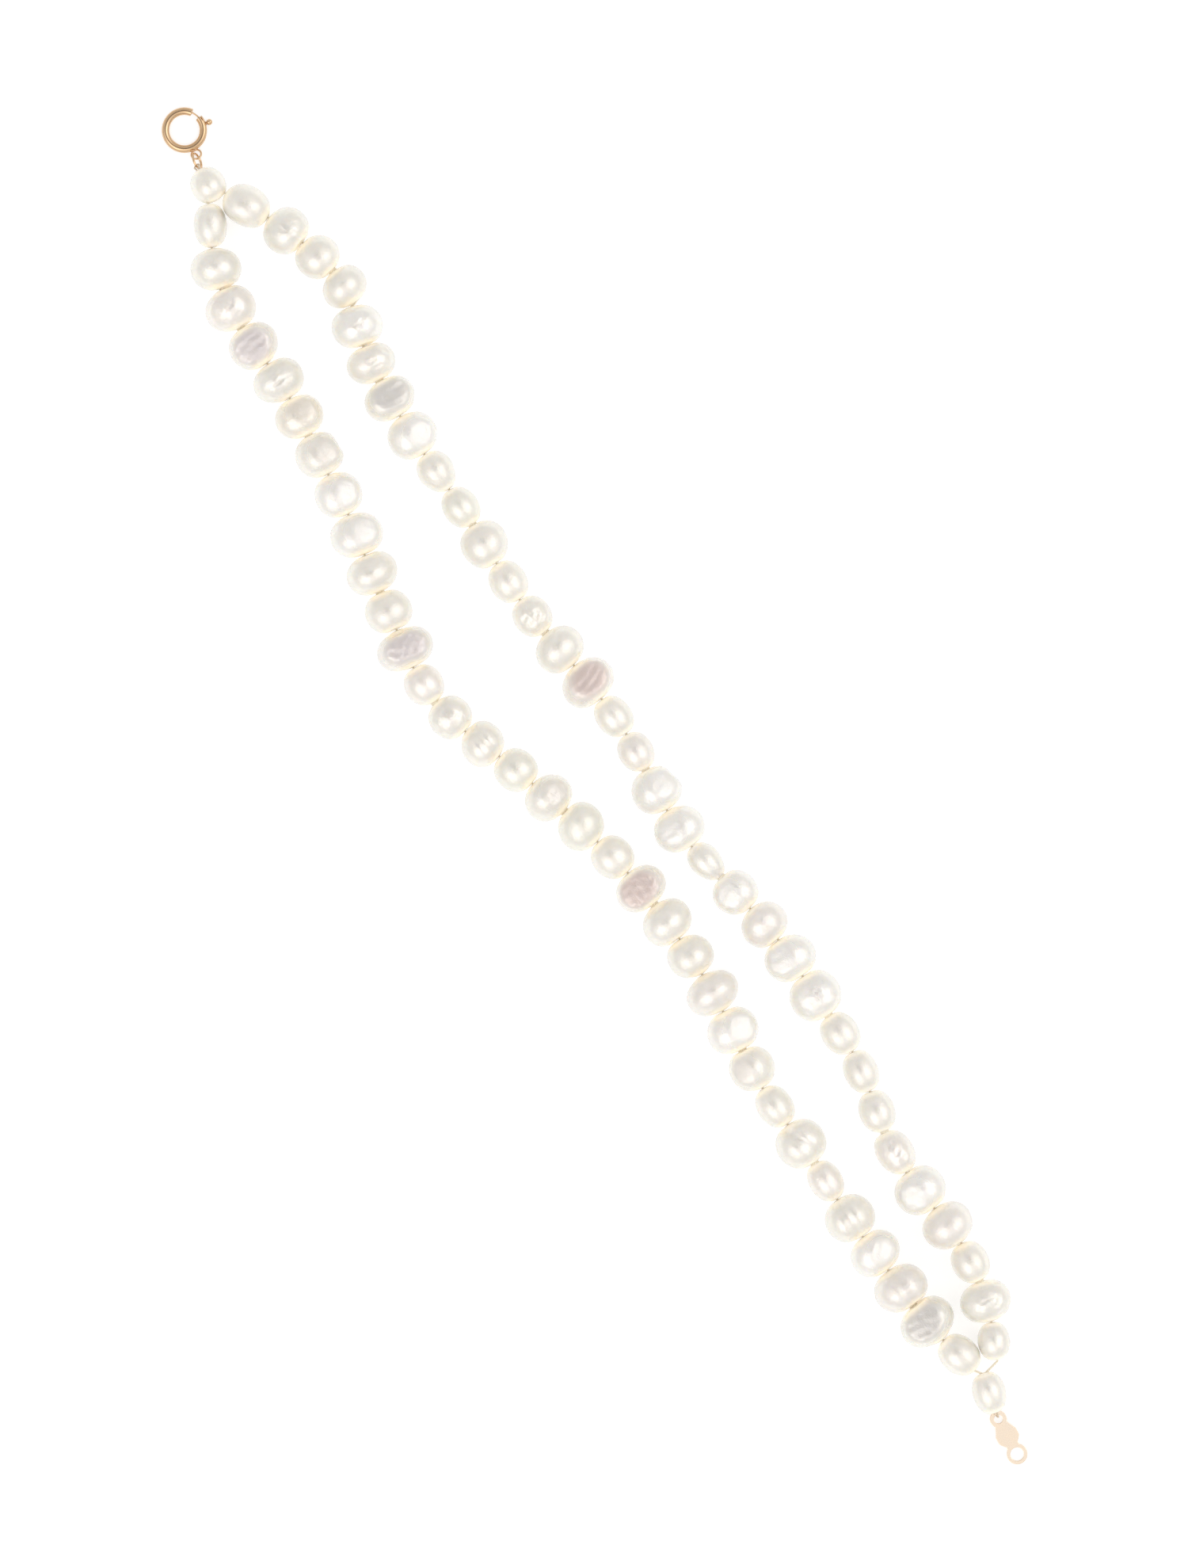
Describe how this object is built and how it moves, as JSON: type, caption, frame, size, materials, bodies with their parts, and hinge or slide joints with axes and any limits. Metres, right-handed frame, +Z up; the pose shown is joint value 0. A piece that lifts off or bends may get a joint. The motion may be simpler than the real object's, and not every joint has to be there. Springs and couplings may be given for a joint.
{
  "type": "pearl bracelet",
  "caption": "Bracelet of two strands of free-form freshwater pearls that meet in one pearl at each end, with a gold spring-ring clasp and a flat end tag.",
  "frame": {"origin": "middle of the footprint, on the table that the bracelet lies on", "axes": "+X from the clasp to the tag, +Y across towards strand b, +Z up from the table"},
  "size_m": [0.1914, 0.0252, 0.0059],
  "materials": {
    "nacre": "glossy cream-white nacre with pinkish and greenish orient",
    "silk": "cream silk thread",
    "loop_wire": "fine coiled wire over the thread",
    "rose_gold": "polished rose-yellow gold",
    "pale_gold": "polished pale gold",
    "spring_steel": "bright spring wire"
  },
  "bodies": {
    "pearl_a01": {"pearl_a01": "nacre"},
    "pearl_b01": {"pearl_b01": "nacre"},
    "pearl_a02": {"pearl_a02": "nacre"},
    "pearl_b02": {"pearl_b02": "nacre"},
    "pearls_a03_a04": {"pearls_a03_a04": "nacre"},
    "pearls_b03_b04": {"pearls_b03_b04": "nacre"},
    "pearl_a05": {"pearl_a05": "nacre"},
    "pearl_b05": {"pearl_b05": "nacre"},
    "pearls_a06_a07": {"pearls_a06_a07": "nacre"},
    "pearls_b06_b07": {"pearls_b06_b07": "nacre"},
    "pearl_a08": {"pearl_a08": "nacre"},
    "pearl_b08": {"pearl_b08": "nacre"},
    "pearl_a09": {"pearl_a09": "nacre"},
    "pearl_b09": {"pearl_b09": "nacre"},
    "pearls_a10_a11": {"pearls_a10_a11": "nacre"},
    "pearls_b10_b11": {"pearls_b10_b11": "nacre"},
    "pearl_a12": {"pearl_a12": "nacre"},
    "pearl_b12": {"pearl_b12": "nacre"},
    "pearls_a13_a14": {"pearls_a13_a14": "nacre"},
    "pearls_b13_b14": {"pearls_b13_b14": "nacre"},
    "pearl_a15": {"pearl_a15": "nacre"},
    "pearl_b15": {"pearl_b15": "nacre"},
    "pearl_a16": {"pearl_a16": "nacre"},
    "pearl_b16": {"pearl_b16": "nacre"},
    "pearls_a17_a18": {"pearls_a17_a18": "nacre", "thread_a": "silk", "thread_b": "silk"},
    "pearls_b17_b18": {"pearls_b17_b18": "nacre"},
    "pearl_a19": {"pearl_a19": "nacre"},
    "pearl_b19": {"pearl_b19": "nacre"},
    "pearls_a20_a21": {"pearls_a20_a21": "nacre"},
    "pearls_b20_b21": {"pearls_b20_b21": "nacre"},
    "pearl_a22": {"pearl_a22": "nacre"},
    "pearl_b22": {"pearl_b22": "nacre"},
    "pearl_a23": {"pearl_a23": "nacre"},
    "pearl_b23": {"pearl_b23": "nacre"},
    "pearls_a24_a25": {"pearls_a24_a25": "nacre"},
    "pearls_b24_b25": {"pearls_b24_b25": "nacre"},
    "pearl_a26": {"pearl_a26": "nacre"},
    "pearl_b26": {"pearl_b26": "nacre"},
    "pearls_a27_a28": {"pearls_a27_a28": "nacre"},
    "pearls_b27_b28": {"pearls_b27_b28": "nacre"},
    "pearl_a29": {"pearl_a29": "nacre"},
    "pearl_b29": {"pearl_b29": "nacre"},
    "pearl_a30": {"pearl_a30": "nacre"},
    "pearl_b30": {"pearl_b30": "nacre"},
    "pearls_a31_a32": {"pearls_a31_a32": "nacre"},
    "pearls_b31_b32": {"pearls_b31_b32": "nacre"},
    "pearl_a33": {"pearl_a33": "nacre"},
    "pearl_b33": {"pearl_b33": "nacre"},
    "pearl_clasp_end": {"pearl_clasp_end": "nacre", "clasp_loop": "loop_wire"},
    "pearl_tag_end": {"pearl_tag_end": "nacre", "tag_loop": "loop_wire"},
    "jump_ring": {"jump_ring": "rose_gold"},
    "spring_ring": {"spring_ring": "rose_gold", "trigger_spring": "spring_steel"},
    "trigger": {"trigger": "rose_gold"},
    "end_tag": {"end_tag": "pale_gold"}
  },
  "joints": [
    {"name": "bend_a13", "type": "hinge", "parent": "pearls_a17_a18", "child": "pearl_a19", "pos_m": [0.00618, 0.00135, 0.0025], "axis": [0, -1, 0], "range_deg": [0, 14], "deforming": ["thread_a", "thread_b"]},
    {"name": "bend_a14", "type": "hinge", "parent": "pearl_a19", "child": "pearls_a20_a21", "pos_m": [0.01133, 0.00135, 0.0025], "axis": [0, -1, 0], "range_deg": [0, 13.82]},
    {"name": "bend_a15", "type": "hinge", "parent": "pearls_a20_a21", "child": "pearl_a22", "pos_m": [0.02133, 0.00135, 0.0025], "axis": [0, -1, 0], "range_deg": [0, 13.69]},
    {"name": "bend_a16", "type": "hinge", "parent": "pearl_a22", "child": "pearl_a23", "pos_m": [0.02633, 0.00135, 0.0025], "axis": [0, -1, 0], "range_deg": [0, 9.26]},
    {"name": "bend_a17", "type": "hinge", "parent": "pearl_a23", "child": "pearls_a24_a25", "pos_m": [0.03148, 0.00135, 0.0025], "axis": [0, -1, 0], "range_deg": [0, 14.35]},
    {"name": "bend_a18", "type": "hinge", "parent": "pearls_a24_a25", "child": "pearl_a26", "pos_m": [0.04205, 0.00135, 0.0025], "axis": [0, -1, 0], "range_deg": [0, 14.37]},
    {"name": "bend_a19", "type": "hinge", "parent": "pearl_a26", "child": "pearls_a27_a28", "pos_m": [0.04723, 0.00135, 0.0025], "axis": [0, -1, 0], "range_deg": [0, 14.42]},
    {"name": "bend_a20", "type": "hinge", "parent": "pearls_a27_a28", "child": "pearl_a29", "pos_m": [0.05785, 0.00135, 0.0025], "axis": [0, -1, 0], "range_deg": [0, 14.62]},
    {"name": "bend_a21", "type": "hinge", "parent": "pearl_a29", "child": "pearl_a30", "pos_m": [0.06325, 0.00135, 0.0025], "axis": [0, -1, 0], "range_deg": [0, 9.6]},
    {"name": "bend_a22", "type": "hinge", "parent": "pearl_a30", "child": "pearls_a31_a32", "pos_m": [0.06838, 0.00135, 0.0025], "axis": [0, -1, 0], "range_deg": [0, 14.03]},
    {"name": "bend_a23", "type": "hinge", "parent": "pearls_a31_a32", "child": "pearl_a33", "pos_m": [0.07863, 0.00135, 0.0025], "axis": [0, -1, 0], "range_deg": [0, 14.16]},
    {"name": "bend_a24", "type": "hinge", "parent": "pearl_a33", "child": "pearl_tag_end", "pos_m": [0.0839, 0.00135, 0.0025], "axis": [0, -1, 0], "range_deg": [0, 9.19]},
    {"name": "bend_a12", "type": "hinge", "parent": "pearls_a17_a18", "child": "pearl_a16", "pos_m": [-0.00402, 0.00135, 0.0025], "axis": [0, 1, 0], "range_deg": [0, 13.85]},
    {"name": "bend_a11", "type": "hinge", "parent": "pearl_a16", "child": "pearl_a15", "pos_m": [-0.009, 0.00135, 0.0025], "axis": [0, 1, 0], "range_deg": [0, 9.08]},
    {"name": "bend_a10", "type": "hinge", "parent": "pearl_a15", "child": "pearls_a13_a14", "pos_m": [-0.01397, 0.00135, 0.0025], "axis": [0, 1, 0], "range_deg": [0, 13.59]},
    {"name": "bend_a09", "type": "hinge", "parent": "pearls_a13_a14", "child": "pearl_a12", "pos_m": [-0.0239, 0.00135, 0.0025], "axis": [0, 1, 0], "range_deg": [0, 13.64]},
    {"name": "bend_a08", "type": "hinge", "parent": "pearl_a12", "child": "pearls_a10_a11", "pos_m": [-0.02892, 0.00135, 0.0025], "axis": [0, 1, 0], "range_deg": [0, 13.75]},
    {"name": "bend_a07", "type": "hinge", "parent": "pearls_a10_a11", "child": "pearl_a09", "pos_m": [-0.03897, 0.00135, 0.0025], "axis": [0, 1, 0], "range_deg": [0, 13.85]},
    {"name": "bend_a06", "type": "hinge", "parent": "pearl_a09", "child": "pearl_a08", "pos_m": [-0.0441, 0.00135, 0.0025], "axis": [0, 1, 0], "range_deg": [0, 9.56]},
    {"name": "bend_a05", "type": "hinge", "parent": "pearl_a08", "child": "pearls_a06_a07", "pos_m": [-0.04945, 0.00135, 0.0025], "axis": [0, 1, 0], "range_deg": [0, 13.8]},
    {"name": "bend_a04", "type": "hinge", "parent": "pearls_a06_a07", "child": "pearl_a05", "pos_m": [-0.05922, 0.00135, 0.0025], "axis": [0, 1, 0], "range_deg": [0, 13.39]},
    {"name": "bend_a03", "type": "hinge", "parent": "pearl_a05", "child": "pearls_a03_a04", "pos_m": [-0.06412, 0.00135, 0.0025], "axis": [0, 1, 0], "range_deg": [0, 13.59]},
    {"name": "bend_a02", "type": "hinge", "parent": "pearls_a03_a04", "child": "pearl_a02", "pos_m": [-0.07412, 0.00135, 0.0025], "axis": [0, 1, 0], "range_deg": [0, 13.46]},
    {"name": "bend_a01", "type": "hinge", "parent": "pearl_a02", "child": "pearl_a01", "pos_m": [-0.07887, 0.00135, 0.0025], "axis": [0, 1, 0], "range_deg": [0, 8.69]},
    {"name": "bend_a00", "type": "hinge", "parent": "pearl_a01", "child": "pearl_clasp_end", "pos_m": [-0.08365, 0.00135, 0.0025], "axis": [0, 1, 0], "range_deg": [0, 8.28]},
    {"name": "bend_b00", "type": "hinge", "parent": "pearl_clasp_end", "child": "pearl_b01", "pos_m": [-0.08365, 0.00135, 0.0025], "axis": [0, -1, 0], "range_deg": [0, 8.28]},
    {"name": "bend_b01", "type": "hinge", "parent": "pearl_b01", "child": "pearl_b02", "pos_m": [-0.07887, 0.00135, 0.0025], "axis": [0, -1, 0], "range_deg": [0, 8.69]},
    {"name": "bend_b02", "type": "hinge", "parent": "pearl_b02", "child": "pearls_b03_b04", "pos_m": [-0.07412, 0.00135, 0.0025], "axis": [0, -1, 0], "range_deg": [0, 13.46]},
    {"name": "bend_b03", "type": "hinge", "parent": "pearls_b03_b04", "child": "pearl_b05", "pos_m": [-0.06412, 0.00135, 0.0025], "axis": [0, -1, 0], "range_deg": [0, 13.59]},
    {"name": "bend_b04", "type": "hinge", "parent": "pearl_b05", "child": "pearls_b06_b07", "pos_m": [-0.05922, 0.00135, 0.0025], "axis": [0, -1, 0], "range_deg": [0, 13.39]},
    {"name": "bend_b05", "type": "hinge", "parent": "pearls_b06_b07", "child": "pearl_b08", "pos_m": [-0.04945, 0.00135, 0.0025], "axis": [0, -1, 0], "range_deg": [0, 13.8]},
    {"name": "bend_b06", "type": "hinge", "parent": "pearl_b08", "child": "pearl_b09", "pos_m": [-0.0441, 0.00135, 0.0025], "axis": [0, -1, 0], "range_deg": [0, 9.56]},
    {"name": "bend_b07", "type": "hinge", "parent": "pearl_b09", "child": "pearls_b10_b11", "pos_m": [-0.03897, 0.00135, 0.0025], "axis": [0, -1, 0], "range_deg": [0, 13.85]},
    {"name": "bend_b08", "type": "hinge", "parent": "pearls_b10_b11", "child": "pearl_b12", "pos_m": [-0.02892, 0.00135, 0.0025], "axis": [0, -1, 0], "range_deg": [0, 13.75]},
    {"name": "bend_b09", "type": "hinge", "parent": "pearl_b12", "child": "pearls_b13_b14", "pos_m": [-0.0239, 0.00135, 0.0025], "axis": [0, -1, 0], "range_deg": [0, 13.64]},
    {"name": "bend_b10", "type": "hinge", "parent": "pearls_b13_b14", "child": "pearl_b15", "pos_m": [-0.01397, 0.00135, 0.0025], "axis": [0, -1, 0], "range_deg": [0, 13.59]},
    {"name": "bend_b11", "type": "hinge", "parent": "pearl_b15", "child": "pearl_b16", "pos_m": [-0.009, 0.00135, 0.0025], "axis": [0, -1, 0], "range_deg": [0, 9.08]},
    {"name": "bend_b12", "type": "hinge", "parent": "pearl_b16", "child": "pearls_b17_b18", "pos_m": [-0.00402, 0.00135, 0.0025], "axis": [0, -1, 0], "range_deg": [0, 13.85]},
    {"name": "bend_b24", "type": "hinge", "parent": "pearl_tag_end", "child": "pearl_b33", "pos_m": [0.0839, 0.00135, 0.0025], "axis": [0, 1, 0], "range_deg": [0, 9.19]},
    {"name": "bend_b23", "type": "hinge", "parent": "pearl_b33", "child": "pearls_b31_b32", "pos_m": [0.07863, 0.00135, 0.0025], "axis": [0, 1, 0], "range_deg": [0, 14.16]},
    {"name": "bend_b22", "type": "hinge", "parent": "pearls_b31_b32", "child": "pearl_b30", "pos_m": [0.06838, 0.00135, 0.0025], "axis": [0, 1, 0], "range_deg": [0, 14.03]},
    {"name": "bend_b21", "type": "hinge", "parent": "pearl_b30", "child": "pearl_b29", "pos_m": [0.06325, 0.00135, 0.0025], "axis": [0, 1, 0], "range_deg": [0, 9.6]},
    {"name": "bend_b20", "type": "hinge", "parent": "pearl_b29", "child": "pearls_b27_b28", "pos_m": [0.05785, 0.00135, 0.0025], "axis": [0, 1, 0], "range_deg": [0, 14.62]},
    {"name": "bend_b19", "type": "hinge", "parent": "pearls_b27_b28", "child": "pearl_b26", "pos_m": [0.04723, 0.00135, 0.0025], "axis": [0, 1, 0], "range_deg": [0, 14.42]},
    {"name": "bend_b18", "type": "hinge", "parent": "pearl_b26", "child": "pearls_b24_b25", "pos_m": [0.04205, 0.00135, 0.0025], "axis": [0, 1, 0], "range_deg": [0, 14.37]},
    {"name": "bend_b17", "type": "hinge", "parent": "pearls_b24_b25", "child": "pearl_b23", "pos_m": [0.03148, 0.00135, 0.0025], "axis": [0, 1, 0], "range_deg": [0, 14.35]},
    {"name": "bend_b16", "type": "hinge", "parent": "pearl_b23", "child": "pearl_b22", "pos_m": [0.02633, 0.00135, 0.0025], "axis": [0, 1, 0], "range_deg": [0, 9.26]},
    {"name": "bend_b15", "type": "hinge", "parent": "pearl_b22", "child": "pearls_b20_b21", "pos_m": [0.02133, 0.00135, 0.0025], "axis": [0, 1, 0], "range_deg": [0, 13.69]},
    {"name": "bend_b14", "type": "hinge", "parent": "pearls_b20_b21", "child": "pearl_b19", "pos_m": [0.01133, 0.00135, 0.0025], "axis": [0, 1, 0], "range_deg": [0, 13.82]},
    {"name": "jump_ring_swing", "type": "hinge", "parent": "pearl_clasp_end", "child": "jump_ring", "pos_m": [-0.08836, 0.00143, 0.00167], "axis": [0.1934, 0.9097, 0.3675], "range_deg": [0, 40]},
    {"name": "clasp_swing", "type": "hinge", "parent": "jump_ring", "child": "spring_ring", "pos_m": [-0.08978, 0.00216, 0.00046], "axis": [0, 1, 0], "range_deg": [0, 20]},
    {"name": "trigger_slide", "type": "hinge", "parent": "spring_ring", "child": "trigger", "pos_m": [-0.093, 0.00255, 0.00046], "axis": [0, 0, -1], "range_deg": [0, 28], "stiffness_Nm_per_rad": 0.004, "springref_deg": -17.19, "deforming": ["trigger_spring"]},
    {"name": "end_tag_swing", "type": "hinge", "parent": "pearl_tag_end", "child": "end_tag", "pos_m": [0.0889, 0.00032, 0.0006], "axis": [-0.0819, -0.9966, 0], "range_deg": [0, 55]}
  ],
  "couplings": [
    {"joint": "bend_a14", "follows": "bend_a13", "ratio": 0.987},
    {"joint": "bend_a15", "follows": "bend_a13", "ratio": 0.9772},
    {"joint": "bend_a16", "follows": "bend_a13", "ratio": 0.6612},
    {"joint": "bend_a17", "follows": "bend_a13", "ratio": 1.0244},
    {"joint": "bend_a18", "follows": "bend_a13", "ratio": 1.0261},
    {"joint": "bend_a19", "follows": "bend_a13", "ratio": 1.0293},
    {"joint": "bend_a20", "follows": "bend_a13", "ratio": 1.044},
    {"joint": "bend_a21", "follows": "bend_a13", "ratio": 0.6857},
    {"joint": "bend_a22", "follows": "bend_a13", "ratio": 1.0016},
    {"joint": "bend_a23", "follows": "bend_a13", "ratio": 1.0114},
    {"joint": "bend_a24", "follows": "bend_a13", "ratio": 0.6564},
    {"joint": "bend_a12", "follows": "bend_a13", "ratio": 0.9886},
    {"joint": "bend_a11", "follows": "bend_a13", "ratio": 0.6482},
    {"joint": "bend_a10", "follows": "bend_a13", "ratio": 0.9707},
    {"joint": "bend_a09", "follows": "bend_a13", "ratio": 0.9739},
    {"joint": "bend_a08", "follows": "bend_a13", "ratio": 0.9821},
    {"joint": "bend_a07", "follows": "bend_a13", "ratio": 0.9886},
    {"joint": "bend_a06", "follows": "bend_a13", "ratio": 0.6824},
    {"joint": "bend_a05", "follows": "bend_a13", "ratio": 0.9853},
    {"joint": "bend_a04", "follows": "bend_a13", "ratio": 0.956},
    {"joint": "bend_a03", "follows": "bend_a13", "ratio": 0.9707},
    {"joint": "bend_a02", "follows": "bend_a13", "ratio": 0.9609},
    {"joint": "bend_a01", "follows": "bend_a13", "ratio": 0.6205},
    {"joint": "bend_a00", "follows": "bend_a13", "ratio": 0.5912},
    {"joint": "bend_b00", "follows": "bend_a13", "ratio": 0.5912},
    {"joint": "bend_b01", "follows": "bend_a13", "ratio": 0.6205},
    {"joint": "bend_b02", "follows": "bend_a13", "ratio": 0.9609},
    {"joint": "bend_b03", "follows": "bend_a13", "ratio": 0.9707},
    {"joint": "bend_b04", "follows": "bend_a13", "ratio": 0.956},
    {"joint": "bend_b05", "follows": "bend_a13", "ratio": 0.9853},
    {"joint": "bend_b06", "follows": "bend_a13", "ratio": 0.6824},
    {"joint": "bend_b07", "follows": "bend_a13", "ratio": 0.9886},
    {"joint": "bend_b08", "follows": "bend_a13", "ratio": 0.9821},
    {"joint": "bend_b09", "follows": "bend_a13", "ratio": 0.9739},
    {"joint": "bend_b10", "follows": "bend_a13", "ratio": 0.9707},
    {"joint": "bend_b11", "follows": "bend_a13", "ratio": 0.6482},
    {"joint": "bend_b12", "follows": "bend_a13", "ratio": 0.9886},
    {"joint": "bend_b24", "follows": "bend_a13", "ratio": 0.6564},
    {"joint": "bend_b23", "follows": "bend_a13", "ratio": 1.0114},
    {"joint": "bend_b22", "follows": "bend_a13", "ratio": 1.0016},
    {"joint": "bend_b21", "follows": "bend_a13", "ratio": 0.6857},
    {"joint": "bend_b20", "follows": "bend_a13", "ratio": 1.044},
    {"joint": "bend_b19", "follows": "bend_a13", "ratio": 1.0293},
    {"joint": "bend_b18", "follows": "bend_a13", "ratio": 1.0261},
    {"joint": "bend_b17", "follows": "bend_a13", "ratio": 1.0244},
    {"joint": "bend_b16", "follows": "bend_a13", "ratio": 0.6612},
    {"joint": "bend_b15", "follows": "bend_a13", "ratio": 0.9772},
    {"joint": "bend_b14", "follows": "bend_a13", "ratio": 0.987}
  ]
}
